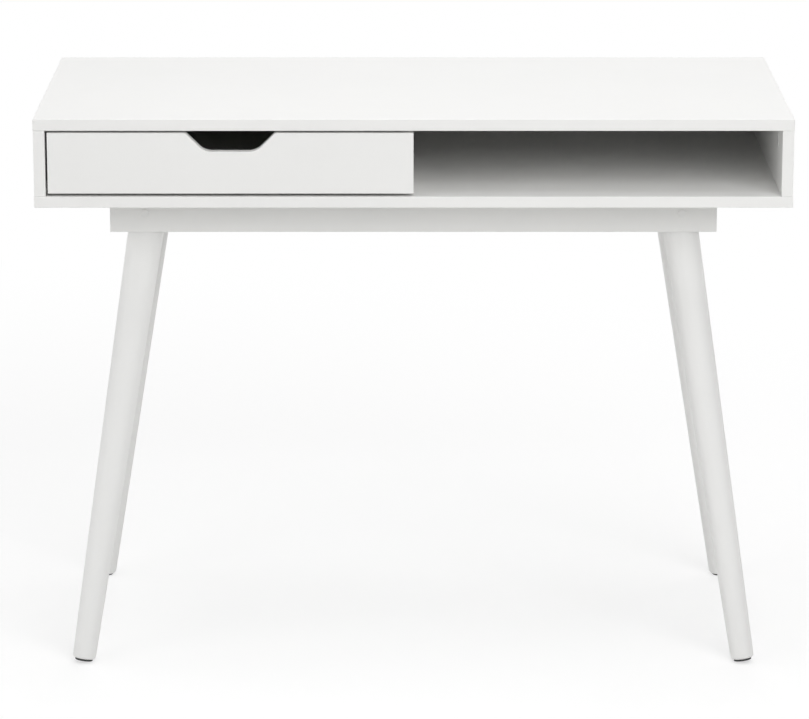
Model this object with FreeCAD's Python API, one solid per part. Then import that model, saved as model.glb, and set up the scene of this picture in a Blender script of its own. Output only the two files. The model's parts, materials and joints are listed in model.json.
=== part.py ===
"""Writing desk with one drawer, an open compartment beside it and four splayed, tapered legs.

Lengths are millimetres. The origin lies on the floor below the middle of the desk, X runs to the
right, Y to the back and Z up, so the front edge stands at minus half the depth.
"""
import FreeCAD
import Part
import math
import os

V = FreeCAD.Vector

# Whole desk
DESK_WIDTH = 1000.0
DESK_DEPTH = 480.0
DESK_HEIGHT = 757.0

# Carcass boards
BOARD = 15.0              # top, bottom, sides, divider and drawer front
SHELF_HEIGHT = 88.0       # clear height between the bottom and the top
SIDE_INSET = 0.5          # sides stand this far inside the edges of the top and the bottom
EDGE_BREAK = 0.8          # chamfer along the edges of the boards
DIVIDER_COVER = 2.0       # the drawer front reaches this far past the divider
DIVIDER_SETBACK = 2.0     # from the back of the drawer front to the divider's front edge

# Back panel, held in grooves
BACK_BOARD = 3.0
BACK_INSET = 10.0         # from the rear edge to the back panel
GROOVE_DEPTH = 6.0
GROOVE_GAP = 0.1
GROOVE_END_GAP = 0.5

# Cam fittings between the top and the upright boards
CAM_RADIUS = 7.5
CAM_FLOOR = 3.0           # wood left behind the pocket of a cam
CAM_DISTANCE = 24.0       # from the end of the board to the cam's axis
CAM_FROM_EDGE = 64.0      # from the front and rear edges of the desk
CAM_SLOT_WIDTH = 1.4
CAM_SLOT_LENGTH = 9.0
CAM_SLOT_DEPTH = 2.0
BOARD_BORE_RADIUS = 3.6   # bore for the bolt in the end of the board
COVER_RADIUS = 8.5
COVER_THICKNESS = 0.8
BOLT_RADIUS = 3.2         # thread, shank and head
BOLT_THREAD_LENGTH = 11.0
BOLT_NECK_RADIUS = 2.0
BOLT_NECK_LENGTH = 4.0
BOLT_HEAD_LENGTH = 3.0
FIT_GAP = 0.1             # around every screw, bolt, dowel and cam in its hole

# Dowels in the carcass
DOWEL_RADIUS = 4.0
DOWEL_LENGTH = 30.0
DOWEL_IN_FACE = 10.0      # part of the dowel in the face of the top or the drawer front
DOWEL_END_GAP = 0.5
DOWEL_FROM_EDGE = 32.0

# Connecting screws of the rails and of the carcass bottom
CONNECTOR_HEAD_RADIUS = 5.0
CONNECTOR_HEAD_HEIGHT = 4.0
CONNECTOR_RADIUS = 3.4
CONNECTOR_LENGTH = 50.0
SOCKET_RADIUS = 2.3       # hexagon socket, over its corners
SOCKET_DEPTH = 3.5

# Base frame of two rails and two cross beams
RAIL_HEIGHT = 51.0
RAIL_THICKNESS = 15.0
RAIL_SETBACK = 85.0       # from the front edge of the desk to the front rail
RAIL_END_INSET = 93.5     # from the end of the desk to the end of a rail
BEAM_WIDTH = 50.0
RAIL_CAP_RADIUS = 5.7
RAIL_CAP_HEIGHT = 1.2
RAIL_CAP_ROUND = 0.8
RAIL_CAP_PEG_RADIUS = 1.8
RAIL_CAP_PEG_LENGTH = 3.0

# Screws from the cross beams up into the carcass bottom
BASE_SCREW_HEAD_RADIUS = 4.2
BASE_SCREW_HEAD_HEIGHT = 2.6
BASE_SCREW_RADIUS = 2.2
BASE_SCREW_GRIP = 20.0    # wood between the head and the carcass
BASE_SCREW_BITE = 11.0
BASE_SCREW_OFFSET = 80.0  # from the middle of the beam
BASE_SCREW_BORE_RADIUS = 6.0

# Legs
LEG_FROM_RAIL_END = 47.0  # leg centre at the top, from the end of the rail
LEG_FROM_RAIL_FACE = 27.0  # leg centre at the top, from the outer face of the rail
LEG_SPLAY_WIDTH = 90.0    # how far the foot stands out to the side
LEG_SPLAY_DEPTH = 76.5    # how far the foot stands out to the front or the back
LEG_TOP_RADIUS = 24.0
LEG_FOOT_RADIUS = 15.8
LEG_FOOT_ROUND = 3.0

# Hanger bolts and threaded sleeves that hold the legs
HANGER_RADIUS = 4.0
HANGER_IN_BEAM = 18.0
HANGER_IN_LEG = 32.0
SLEEVE_RADIUS = 6.0
SLEEVE_LENGTH = 14.0
SLEEVE_RECESS = 2.0

# Stick-on glides under the legs
GLIDE_RADIUS = 12.0
GLIDE_THICKNESS = 3.0

# Drawer box
DRAWER_FRONT_WIDTH = 481.5
FRONT_SIDE_GAP = 3.0
FRONT_TOP_GAP = 3.0
FRONT_BOTTOM_GAP = 4.0
FRONT_CORNER_ROUND = 1.0
DRAWER_SIDE_HEIGHT = 60.0
DRAWER_SIDE_BOARD = 12.0
DRAWER_REAR_GAP = 52.0    # free space behind the drawer
DRAWER_BOTTOM_BOARD = 3.0
DRAWER_GROOVE_DEPTH = 4.0
DRAWER_GROOVE_HEIGHT = 8.0

# Finger cut-out in the drawer front
CUTOUT_DEPTH = 25.0
CUTOUT_FLOOR_WIDTH = 68.0
CUTOUT_FLARE = 25.0       # each flank leans out this far over the depth
CUTOUT_FLOOR_ROUND = 22.0
CUTOUT_MOUTH_ROUND = 5.0

# Cam fittings and dowels of the drawer front
DRAWER_CAM_RADIUS = 6.0
DRAWER_CAM_HEIGHT = 42.0
DRAWER_DOWEL_RADIUS = 3.0
DRAWER_DOWEL_LENGTH = 25.0
DRAWER_DOWEL_HEIGHT = 24.0

# Screws of the drawer back
BACK_SCREW_HEAD_RADIUS = 3.4
BACK_SCREW_HEAD_HEIGHT = 2.2
BACK_SCREW_RADIUS = 1.7
BACK_SCREW_LENGTH = 32.0
BACK_SCREW_LOW = 26.0
BACK_SCREW_HIGH = 48.0

# Pan head screws of the runners
PAN_HEAD_RADIUS = 3.2
PAN_HEAD_HEIGHT = 1.4
PAN_RADIUS = 1.7
PAN_LENGTH = 10.0
PAN_FROM_END = 60.0       # from the ends of a runner to its screws

# Roller runners
RUNNER_SPACE = 13.0       # between the carcass and the drawer side
RUNNER_LIFT = 3.0         # from the carcass bottom to the runner
RUNNER_SETBACK = 2.0      # from the drawer front to the runner
RUNNER_END = 3.0          # from the end of the runner to the end of the drawer side
STEEL = 1.2
BEND_ROUND = 0.5          # inside radius of a bend
CHANNEL_HEIGHT = 16.0
CHANNEL_WEB_GAP = 1.3     # between the channel's lip and the drawer's runner
CHANNEL_LIP = 3.0
CHANNEL_TOP_SHORT = 2.5   # the upper flange is this much narrower than the lower one
CHANNEL_NOSE = 20.0       # length without flanges, where the front roller sits
STOP_FROM_FRONT = 79.0    # from the front end of the channel to the stop
STOP_HEIGHT = 5.0
UNDER_FLANGE_SHORT = 2.0  # the flange under the drawer side ends this far from its inner face
RUNNING_FLANGE_GAP = 2.0  # from the running flange to the carcass

# Rollers and their axles
FRONT_ROLLER_RADIUS = 8.0
FRONT_ROLLER_RISE = 0.6   # above the channel
FRONT_ROLLER_FROM_END = 10.0
REAR_ROLLER_FROM_END = 9.0
ROLLER_NEAR = 4.2         # from the carcass to the roller
ROLLER_RUN_GAP = 0.3
ROLLER_END_GAP = 0.2
ROLLER_BORE_GAP = 0.06
AXLE_RADIUS = 2.0
AXLE_SHOULDER_RADIUS = 3.0
AXLE_HEAD_THICKNESS = 1.0

OVERRUN = 5.0             # cutting tools reach this far past what they cut

# Levels and planes that several pieces share
FRONT = -DESK_DEPTH / 2
REAR = DESK_DEPTH / 2
TOP_UNDERSIDE = DESK_HEIGHT - BOARD
FLOOR = TOP_UNDERSIDE - SHELF_HEIGHT
CARCASS_BOTTOM = FLOOR - BOARD
LEG_TOP = CARCASS_BOTTOM - RAIL_HEIGHT
END_OUTER = DESK_WIDTH / 2 - SIDE_INSET
END_INNER = END_OUTER - BOARD
BACK_FACE = REAR - BACK_INSET - BACK_BOARD

FRONT_LEFT = -END_INNER + FRONT_SIDE_GAP
FRONT_RIGHT = FRONT_LEFT + DRAWER_FRONT_WIDTH
DIVIDER_RIGHT = FRONT_RIGHT - DIVIDER_COVER
DIVIDER_LEFT = DIVIDER_RIGHT - BOARD
FRONT_REAR = FRONT + BOARD
DRAWER_END = BACK_FACE - DRAWER_REAR_GAP

RUNNER_BASE = FLOOR + RUNNER_LIFT
RUNNER_START = FRONT_REAR + RUNNER_SETBACK
RUNNER_STOP = DRAWER_END - RUNNER_END
DRAWER_BASE = RUNNER_BASE + STEEL
DRAWER_TOP = DRAWER_BASE + DRAWER_SIDE_HEIGHT
DRAWER_FLOOR = DRAWER_BASE + DRAWER_GROOVE_HEIGHT

CHANNEL_WIDTH = RUNNER_SPACE - STEEL - CHANNEL_WEB_GAP
ROLLER_FAR = CHANNEL_WIDTH - STEEL - ROLLER_RUN_GAP
CHANNEL_MIDDLE = RUNNER_BASE + CHANNEL_HEIGHT / 2
FRONT_ROLLER_Y = RUNNER_START + FRONT_ROLLER_FROM_END
FRONT_ROLLER_Z = RUNNER_BASE + CHANNEL_HEIGHT + FRONT_ROLLER_RISE - FRONT_ROLLER_RADIUS
RUNNING_LEVEL = FRONT_ROLLER_Z + FRONT_ROLLER_RADIUS + ROLLER_RUN_GAP
REAR_ROLLER_RADIUS = CHANNEL_HEIGHT / 2 - STEEL - ROLLER_RUN_GAP
REAR_ROLLER_Y = RUNNER_STOP - REAR_ROLLER_FROM_END
DRAWER_TRAVEL = REAR_ROLLER_Y - REAR_ROLLER_RADIUS - RUNNER_START - STOP_FROM_FRONT - ROLLER_RUN_GAP

RAIL_FACE = DESK_DEPTH / 2 - RAIL_SETBACK
RAIL_INNER = RAIL_FACE - RAIL_THICKNESS
RAIL_HALF = DESK_WIDTH / 2 - RAIL_END_INSET
BEAM_X = RAIL_HALF - LEG_FROM_RAIL_END
RAIL_MIDDLE = LEG_TOP + RAIL_HEIGHT / 2

JOINT_SIDES = (-1, 1)
CORNERS = {
    "front_left": (-1, -1),
    "front_right": (1, -1),
    "rear_left": (-1, 1),
    "rear_right": (1, 1),
}


def block(corner, opposite):
    """Block between two opposite corners, given in any order."""
    low = V(min(corner.x, opposite.x), min(corner.y, opposite.y), min(corner.z, opposite.z))
    size = V(abs(opposite.x - corner.x), abs(opposite.y - corner.y), abs(opposite.z - corner.z))
    return Part.makeBox(size.x, size.y, size.z, low)


def board(corner, opposite):
    """Board between two opposite corners, with every edge slightly broken."""
    shape = block(corner, opposite)
    return shape.makeChamfer(EDGE_BREAK, shape.Edges)


def rod(radius, start, end):
    """Cylinder from one point to another."""
    along = end - start
    return Part.makeCylinder(radius, along.Length, start, along)


def turned(profile, place, direction):
    """Solid of revolution: profile is (radius, distance along direction), from axis to axis."""
    points = [V(radius, 0, along) for radius, along in profile]
    face = Part.Face(Part.makePolygon(points + points[:1]))
    solid = face.revolve(V(0, 0, 0), V(0, 0, 1), 360)
    solid.Placement = FreeCAD.Placement(place, FreeCAD.Rotation(V(0, 0, 1), direction))
    return solid


def rounded_outline(corners):
    """Closed wire of lines and arcs through corners, each a point and the radius that rounds it."""
    spans = []
    for index, (point, radius) in enumerate(corners):
        before = (corners[index - 1][0] - point).normalize()
        after = (corners[(index + 1) % len(corners)][0] - point).normalize()
        half_angle = before.getAngle(after) / 2
        tangent = radius / math.tan(half_angle)
        inward = (before + after).normalize()
        middle = point + inward * (radius / math.sin(half_angle) - radius)
        spans.append((point + before * tangent, middle, point + after * tangent, radius))
    edges = []
    for index, (start, middle, end, radius) in enumerate(spans):
        if radius > 0:
            edges.append(Part.Arc(start, middle, end).toShape())
        following = spans[(index + 1) % len(spans)][0]
        edges.append(Part.LineSegment(end, following).toShape())
    return Part.Wire(edges)


def prism(corners, along):
    """Prism over a rounded outline."""
    return Part.Face(rounded_outline(corners)).extrude(along)


def sunk_screw(head_radius, head_height, radius, length, place, direction, gap=0):
    """Countersunk screw with its head flush at place, or the hole that takes it with a gap."""
    profile = [
        (0, 0),
        (head_radius + gap, 0),
        (radius + gap, head_height),
        (radius + gap, length + gap),
        (0, length + gap),
    ]
    return turned(profile, place, direction)


def connector(place, direction):
    """Connecting screw with a hexagon socket."""
    screw = sunk_screw(CONNECTOR_HEAD_RADIUS, CONNECTOR_HEAD_HEIGHT, CONNECTOR_RADIUS,
                       CONNECTOR_LENGTH, place, direction)
    turns = [math.radians(60 * corner) for corner in range(6)]
    corners = [V(SOCKET_RADIUS * math.cos(turn), SOCKET_RADIUS * math.sin(turn), 0) for turn in turns]
    socket = Part.Face(Part.makePolygon(corners + corners[:1])).extrude(V(0, 0, SOCKET_DEPTH))
    socket.Placement = FreeCAD.Placement(place, FreeCAD.Rotation(V(0, 0, 1), direction))
    return screw.cut(socket)


def connector_hole(place, direction):
    """Hole for a connecting screw."""
    return sunk_screw(CONNECTOR_HEAD_RADIUS, CONNECTOR_HEAD_HEIGHT, CONNECTOR_RADIUS,
                      CONNECTOR_LENGTH, place, direction, FIT_GAP)


def base_screw(place, direction, gap=0):
    """Screw between a cross beam and the carcass bottom, or its hole."""
    length = BASE_SCREW_GRIP + BASE_SCREW_BITE
    return sunk_screw(BASE_SCREW_HEAD_RADIUS, BASE_SCREW_HEAD_HEIGHT, BASE_SCREW_RADIUS, length,
                      place, direction, gap)


def back_screw(place, direction, gap=0):
    """Screw through a drawer side into the drawer back, or its hole."""
    return sunk_screw(BACK_SCREW_HEAD_RADIUS, BACK_SCREW_HEAD_HEIGHT, BACK_SCREW_RADIUS,
                      BACK_SCREW_LENGTH, place, direction, gap)


def pan_screw(place, direction):
    """Pan head screw whose head lies on the surface at place."""
    profile = [
        (0, -PAN_HEAD_HEIGHT),
        (PAN_HEAD_RADIUS, -PAN_HEAD_HEIGHT),
        (PAN_HEAD_RADIUS, 0),
        (PAN_RADIUS, 0),
        (PAN_RADIUS, PAN_LENGTH),
        (0, PAN_LENGTH),
    ]
    return turned(profile, place, direction)


def pan_hole(place, direction):
    """Hole for a pan head screw."""
    return rod(PAN_RADIUS + FIT_GAP, place, place + direction * (PAN_LENGTH + FIT_GAP))


def dowel_hole(radius, start, end):
    """Hole for a dowel, a little deeper at both ends."""
    extra = (end - start).normalize() * DOWEL_END_GAP
    return rod(radius + FIT_GAP, start - extra, end + extra)


def cam_bolt(place, direction, gap=0):
    """Cam bolt screwed into a face at place, or the room that it needs with a gap around it."""
    head_start = CAM_DISTANCE - BOLT_HEAD_LENGTH / 2
    neck_start = head_start - BOLT_NECK_LENGTH
    head_end = head_start + BOLT_HEAD_LENGTH
    profile = [
        (0, -BOLT_THREAD_LENGTH - gap),
        (BOLT_RADIUS + gap, -BOLT_THREAD_LENGTH - gap),
        (BOLT_RADIUS + gap, neck_start + gap),
        (BOLT_NECK_RADIUS + gap, neck_start + gap),
        (BOLT_NECK_RADIUS + gap, head_start - gap),
        (BOLT_RADIUS + gap, head_start - gap),
        (BOLT_RADIUS + gap, head_end + gap),
        (0, head_end + gap),
    ]
    return turned(profile, place, direction)


def cam_bore(radius, place, direction):
    """Bore from the end of a board to just past the bolt's head in the cam."""
    reach = CAM_DISTANCE + BOLT_HEAD_LENGTH / 2 + FIT_GAP
    return rod(radius, place, place + direction * reach)


def cam_lock(radius, length, face_centre, inward, bolt_bore):
    """Cam with its slotted face at face_centre, holding the head of the bolt."""
    slot_half = inward.cross(V(0, 0, 1)) * (CAM_SLOT_LENGTH / 2)
    slot_side = V(0, 0, CAM_SLOT_WIDTH / 2)
    slot = block(face_centre - slot_half - slot_side, face_centre + slot_half + slot_side
                 + inward * CAM_SLOT_DEPTH)
    return rod(radius, face_centre, face_centre + inward * length).cut([bolt_bore, slot])


def upright_boards():
    """Middle plane, cam face and inward direction of each upright board of the carcass."""
    return {
        "left_side": (-END_OUTER + BOARD / 2, V(-1, 0, 0)),
        "divider": (DIVIDER_LEFT + BOARD / 2, V(1, 0, 0)),
        "right_side": (END_OUTER - BOARD / 2, V(1, 0, 0)),
    }


def joint_rows(distance):
    """The two places along the depth, at a distance from the front and rear edges."""
    return [FRONT + distance, REAR - distance]


def carcass_dowel_ends(x):
    """Ends of the two dowels between the top and an upright board whose middle plane is at x."""
    high = TOP_UNDERSIDE + DOWEL_IN_FACE
    return [(V(x, y, high), V(x, y, high - DOWEL_LENGTH)) for y in joint_rows(DOWEL_FROM_EDGE)]


def carcass_dowel_holes(x):
    """Holes of those dowels."""
    return [dowel_hole(DOWEL_RADIUS, start, end) for start, end in carcass_dowel_ends(x)]


def carcass_cam_places(x):
    """Places on the underside of the top where the cam bolts of a board at x start."""
    return [V(x, y, TOP_UNDERSIDE) for y in joint_rows(CAM_FROM_EDGE)]


def cam_face_centre(place, inward):
    """Centre of a cam's outer face, on the face of the board that inward points away from."""
    return place - inward * (BOARD / 2) - V(0, 0, CAM_DISTANCE)


def bottom_screw_places(x):
    """Places under the carcass where the connecting screws of a board at x enter."""
    return [V(x, y, CARCASS_BOTTOM) for y in joint_rows(CAM_FROM_EDGE)]


def back_groove():
    """Cutting tool for the grooves around the back panel."""
    reach = GROOVE_DEPTH + GROOVE_END_GAP
    corner = V(-END_INNER - reach, BACK_FACE - GROOVE_GAP, FLOOR - reach)
    opposite = V(END_INNER + reach, BACK_FACE + BACK_BOARD + GROOVE_GAP, TOP_UNDERSIDE + reach)
    return block(corner, opposite)


def desktop():
    """Top board, with blind holes for the cam bolts and dowels on its underside."""
    shape = board(V(-DESK_WIDTH / 2, FRONT, TOP_UNDERSIDE), V(DESK_WIDTH / 2, REAR, DESK_HEIGHT))
    tools = [back_groove()]
    for x, _ in upright_boards().values():
        tools += carcass_dowel_holes(x)
        tools += [cam_bolt(place, V(0, 0, -1), FIT_GAP) for place in carcass_cam_places(x)]
    return shape.cut(tools)


def base_screw_places():
    """Head places of the screws in the cross beams."""
    level = CARCASS_BOTTOM - BASE_SCREW_GRIP
    return [V(side * BEAM_X, row * BASE_SCREW_OFFSET, level) for side in JOINT_SIDES for row in JOINT_SIDES]


def carcass_bottom():
    """Bottom board, screwed to the uprights from below and to the cross beams."""
    shape = board(V(-DESK_WIDTH / 2, FRONT, CARCASS_BOTTOM), V(DESK_WIDTH / 2, REAR, FLOOR))
    tools = [back_groove()]
    tools += [base_screw(place, V(0, 0, 1), FIT_GAP) for place in base_screw_places()]
    for x, _ in upright_boards().values():
        tools += [connector_hole(place, V(0, 0, 1)) for place in bottom_screw_places(x)]
    return shape.cut(tools)


def upright(name, front, rear):
    """One upright board of the carcass between the top and the bottom."""
    x, inward = upright_boards()[name]
    shape = board(V(x - BOARD / 2, front, FLOOR), V(x + BOARD / 2, rear, TOP_UNDERSIDE))
    tools = carcass_dowel_holes(x)
    tools += [connector_hole(place, V(0, 0, 1)) for place in bottom_screw_places(x)]
    for place in carcass_cam_places(x):
        centre = cam_face_centre(place, inward)
        tools.append(cam_bore(BOARD_BORE_RADIUS, place, V(0, 0, -1)))
        tools.append(rod(CAM_RADIUS + FIT_GAP, centre, centre + inward * (BOARD - CAM_FLOOR)))
    return shape.cut(tools)


def side_board(name):
    """Left or right side, with the groove for the back panel."""
    tools = [back_groove()]
    if name == "left_side":
        tools += cabinet_screw_holes(-1)
    return upright(name, FRONT + SIDE_INSET, REAR - SIDE_INSET).cut(tools)


def divider():
    """Divider between the drawer and the open compartment."""
    shape = upright("divider", FRONT_REAR + DIVIDER_SETBACK, BACK_FACE)
    return shape.cut(cabinet_screw_holes(1))


def back_panel():
    """Thin back panel, set into the grooves."""
    corner = V(-END_INNER - GROOVE_DEPTH, BACK_FACE, FLOOR - GROOVE_DEPTH)
    return block(corner, V(END_INNER + GROOVE_DEPTH, BACK_FACE + BACK_BOARD, TOP_UNDERSIDE + GROOVE_DEPTH))


def carcass_fittings():
    """Cams, cam bolts, cam covers, dowels and bottom screws of the carcass."""
    cams, bolts, covers, dowels, screws = [], [], [], [], []
    for x, inward in upright_boards().values():
        for place in carcass_cam_places(x):
            bore = cam_bore(BOLT_RADIUS + FIT_GAP, place, V(0, 0, -1))
            centre = cam_face_centre(place, inward)
            cams.append(cam_lock(CAM_RADIUS, BOARD - CAM_FLOOR, centre, inward, bore))
            bolts.append(cam_bolt(place, V(0, 0, -1)))
            covers.append(rod(COVER_RADIUS, centre - inward * COVER_THICKNESS, centre))
        dowels += [rod(DOWEL_RADIUS, start, end) for start, end in carcass_dowel_ends(x)]
        screws += [connector(place, V(0, 0, 1)) for place in bottom_screw_places(x)]
    return {
        "cam_locks": Part.makeCompound(cams),
        "cam_bolts": Part.makeCompound(bolts),
        "cam_covers": Part.makeCompound(covers),
        "carcass_dowels": Part.makeCompound(dowels),
        "carcass_bottom_screws": Part.makeCompound(screws),
    }


def rail_screw_places(row):
    """Places on the outer face of the front rail (row -1) or the rear rail (row 1)."""
    return [V(side * BEAM_X, row * RAIL_FACE, RAIL_MIDDLE) for side in JOINT_SIDES]


def rail(row):
    """Front or rear rail of the base frame."""
    shape = board(V(-RAIL_HALF, row * RAIL_FACE, LEG_TOP), V(RAIL_HALF, row * RAIL_INNER, CARCASS_BOTTOM))
    return shape.cut([connector_hole(place, V(0, -row, 0)) for place in rail_screw_places(row)])


def leg_axis(side, row):
    """Point where a leg's axis meets the base frame, and its direction up from the foot."""
    top = V(side * BEAM_X, row * (RAIL_FACE - LEG_FROM_RAIL_FACE), LEG_TOP)
    foot = top + V(side * LEG_SPLAY_WIDTH, row * LEG_SPLAY_DEPTH, -LEG_TOP)
    return top, (top - foot).normalize()


def sleeve_bore(side, row):
    """Slanted hole in a cross beam for a hanger bolt and its sleeve."""
    top, up = leg_axis(side, row)
    return rod(SLEEVE_RADIUS + FIT_GAP, top - up * OVERRUN, top + up * (HANGER_IN_BEAM + FIT_GAP))


def cross_beam(side):
    """Cross beam over the two legs of one side."""
    low = V(side * BEAM_X - BEAM_WIDTH / 2, -RAIL_INNER, LEG_TOP)
    shape = board(low, V(side * BEAM_X + BEAM_WIDTH / 2, RAIL_INNER, CARCASS_BOTTOM))
    tools = []
    for row in JOINT_SIDES:
        tools.append(sleeve_bore(side, row))
        place = V(side * BEAM_X, row * RAIL_FACE, RAIL_MIDDLE)
        tools.append(connector_hole(place, V(0, -row, 0)))
        head = V(side * BEAM_X, row * BASE_SCREW_OFFSET, CARCASS_BOTTOM - BASE_SCREW_GRIP)
        tools.append(base_screw(head, V(0, 0, 1), FIT_GAP))
        tools.append(rod(BASE_SCREW_BORE_RADIUS, V(head.x, head.y, LEG_TOP - OVERRUN), head))
    return shape.cut(tools)


def rail_cap(place, outward):
    """Cover cap with a peg in the socket of a rail screw."""
    profile = [
        (0, -RAIL_CAP_PEG_LENGTH),
        (RAIL_CAP_PEG_RADIUS, -RAIL_CAP_PEG_LENGTH),
        (RAIL_CAP_PEG_RADIUS, 0),
        (RAIL_CAP_RADIUS, 0),
        (RAIL_CAP_RADIUS, RAIL_CAP_HEIGHT - RAIL_CAP_ROUND),
        (RAIL_CAP_RADIUS - RAIL_CAP_ROUND, RAIL_CAP_HEIGHT),
        (0, RAIL_CAP_HEIGHT),
    ]
    return turned(profile, place, outward)


def base_fittings():
    """Screws, caps, hanger bolts and sleeves of the base frame."""
    screws, caps, bolts, sleeves = [], [], [], []
    for row in JOINT_SIDES:
        for place in rail_screw_places(row):
            screws.append(connector(place, V(0, -row, 0)))
            caps.append(rail_cap(place, V(0, row, 0)))
    for side, row in CORNERS.values():
        top, up = leg_axis(side, row)
        bolts.append(rod(HANGER_RADIUS, top - up * HANGER_IN_LEG, top + up * HANGER_IN_BEAM))
        sleeve_start = top + up * SLEEVE_RECESS
        sleeve_end = sleeve_start + up * SLEEVE_LENGTH
        sleeve = rod(SLEEVE_RADIUS, sleeve_start, sleeve_end)
        sleeves.append(sleeve.cut(rod(HANGER_RADIUS + FIT_GAP, top, sleeve_end + up * OVERRUN)))
    return {
        "rail_screws": Part.makeCompound(screws),
        "rail_caps": Part.makeCompound(caps),
        "base_screws": Part.makeCompound([base_screw(place, V(0, 0, 1)) for place in base_screw_places()]),
        "hanger_bolts": Part.makeCompound(bolts),
        "threaded_sleeves": Part.makeCompound(sleeves),
    }


def glide_centre(side, row):
    """Centre of a glide's lower face: its lowest edge then touches the floor."""
    top, up = leg_axis(side, row)
    height = GLIDE_RADIUS * math.sin(math.acos(up.z))
    return top - up * ((LEG_TOP - height) / up.z)


def lowest_rim(shape):
    """Lowest of a shape's round edges."""
    rims = [edge for edge in shape.Edges if edge.Closed]
    return min(rims, key=lambda edge: edge.BoundBox.Center.z)


def leg(side, row):
    """Tapered round leg, cut level at the top and square to its axis at the rounded foot."""
    top, up = leg_axis(side, row)
    foot = glide_centre(side, row) + up * GLIDE_THICKNESS
    length = (top - foot).Length
    extra = LEG_TOP_RADIUS
    top_radius = LEG_TOP_RADIUS + (LEG_TOP_RADIUS - LEG_FOOT_RADIUS) * extra / length
    cone = Part.makeCone(LEG_FOOT_RADIUS, top_radius, length + extra, foot, up)
    cone = cone.makeFillet(LEG_FOOT_ROUND, [lowest_rim(cone)])
    reach = V(LEG_TOP_RADIUS + extra, LEG_TOP_RADIUS + extra, 0)
    waste = block(top - reach, top + reach + V(0, 0, 2 * extra))
    bolt_hole = rod(HANGER_RADIUS + FIT_GAP, top - up * (HANGER_IN_LEG + FIT_GAP), top + up * OVERRUN)
    return cone.cut([waste, bolt_hole])


def glide(side, row):
    """Round glide stuck square to the foot of a leg."""
    centre = glide_centre(side, row)
    _, up = leg_axis(side, row)
    return rod(GLIDE_RADIUS, centre, centre + up * GLIDE_THICKNESS)


def drawer_x(side, distance):
    """Place at a distance from the carcass wall on the left (-1) or right (1) of the drawer bay."""
    wall = -END_INNER if side < 0 else DIVIDER_LEFT
    return wall - side * distance


def drawer_front():
    """Drawer front with the finger cut-out in its upper edge."""
    low = FLOOR + FRONT_BOTTOM_GAP
    high = TOP_UNDERSIDE - FRONT_TOP_GAP
    middle = (FRONT_LEFT + FRONT_RIGHT) / 2
    floor_half = CUTOUT_FLOOR_WIDTH / 2
    mouth_half = floor_half + CUTOUT_FLARE
    corners = [
        (V(FRONT_LEFT, FRONT, low), FRONT_CORNER_ROUND),
        (V(FRONT_RIGHT, FRONT, low), FRONT_CORNER_ROUND),
        (V(FRONT_RIGHT, FRONT, high), FRONT_CORNER_ROUND),
        (V(middle + mouth_half, FRONT, high), CUTOUT_MOUTH_ROUND),
        (V(middle + floor_half, FRONT, high - CUTOUT_DEPTH), CUTOUT_FLOOR_ROUND),
        (V(middle - floor_half, FRONT, high - CUTOUT_DEPTH), CUTOUT_FLOOR_ROUND),
        (V(middle - mouth_half, FRONT, high), CUTOUT_MOUTH_ROUND),
        (V(FRONT_LEFT, FRONT, high), FRONT_CORNER_ROUND),
    ]
    shape = prism(corners, V(0, BOARD, 0))
    outlines = [edge for edge in shape.Edges if edge.BoundBox.YLength < EDGE_BREAK]
    shape = shape.makeChamfer(EDGE_BREAK, outlines)
    tools = [drawer_bottom_groove()]
    for side in JOINT_SIDES:
        tools.append(cam_bolt(drawer_cam_place(side), V(0, 1, 0), FIT_GAP))
        tools.append(dowel_hole(DRAWER_DOWEL_RADIUS, *drawer_dowel_ends(side)))
    return shape.cut(tools)


def drawer_cam_place(side):
    """Place on the back of the drawer front where a cam bolt starts."""
    x = drawer_x(side, RUNNER_SPACE + DRAWER_SIDE_BOARD / 2)
    return V(x, FRONT_REAR, DRAWER_BASE + DRAWER_CAM_HEIGHT)


def drawer_cam_centre(side):
    """Centre of the outer face of a drawer cam, on the inner face of the drawer side."""
    x = drawer_x(side, RUNNER_SPACE + DRAWER_SIDE_BOARD)
    return V(x, FRONT_REAR + CAM_DISTANCE, DRAWER_BASE + DRAWER_CAM_HEIGHT)


def drawer_dowel_ends(side):
    """Ends of the dowel between the drawer front and a drawer side."""
    x = drawer_x(side, RUNNER_SPACE + DRAWER_SIDE_BOARD / 2)
    start = V(x, FRONT_REAR - DOWEL_IN_FACE, DRAWER_BASE + DRAWER_DOWEL_HEIGHT)
    return start, start + V(0, DRAWER_DOWEL_LENGTH, 0)


def drawer_bottom_groove():
    """Cutting tool for the grooves that take the drawer bottom."""
    distance = RUNNER_SPACE + DRAWER_SIDE_BOARD - DRAWER_GROOVE_DEPTH - GROOVE_END_GAP
    start = FRONT_REAR - DRAWER_GROOVE_DEPTH - GROOVE_END_GAP
    end = DRAWER_END - DRAWER_SIDE_BOARD + DRAWER_GROOVE_DEPTH + GROOVE_END_GAP
    low = DRAWER_FLOOR - GROOVE_GAP
    high = DRAWER_FLOOR + DRAWER_BOTTOM_BOARD + GROOVE_GAP
    return block(V(drawer_x(-1, distance), start, low), V(drawer_x(1, distance), end, high))


def back_screw_places(side):
    """Places on the outer face of a drawer side where the screws of the drawer back enter."""
    y = DRAWER_END - DRAWER_SIDE_BOARD / 2
    x = drawer_x(side, RUNNER_SPACE)
    return [V(x, y, DRAWER_BASE + height) for height in (BACK_SCREW_LOW, BACK_SCREW_HIGH)]


def under_screw_places(side):
    """Places under the drawer's runner where its screws enter the drawer side."""
    x = drawer_x(side, RUNNER_SPACE + (DRAWER_SIDE_BOARD - DRAWER_GROOVE_DEPTH) / 2)
    return [V(x, y, RUNNER_BASE) for y in (RUNNER_START + PAN_FROM_END, RUNNER_STOP - PAN_FROM_END)]


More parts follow.
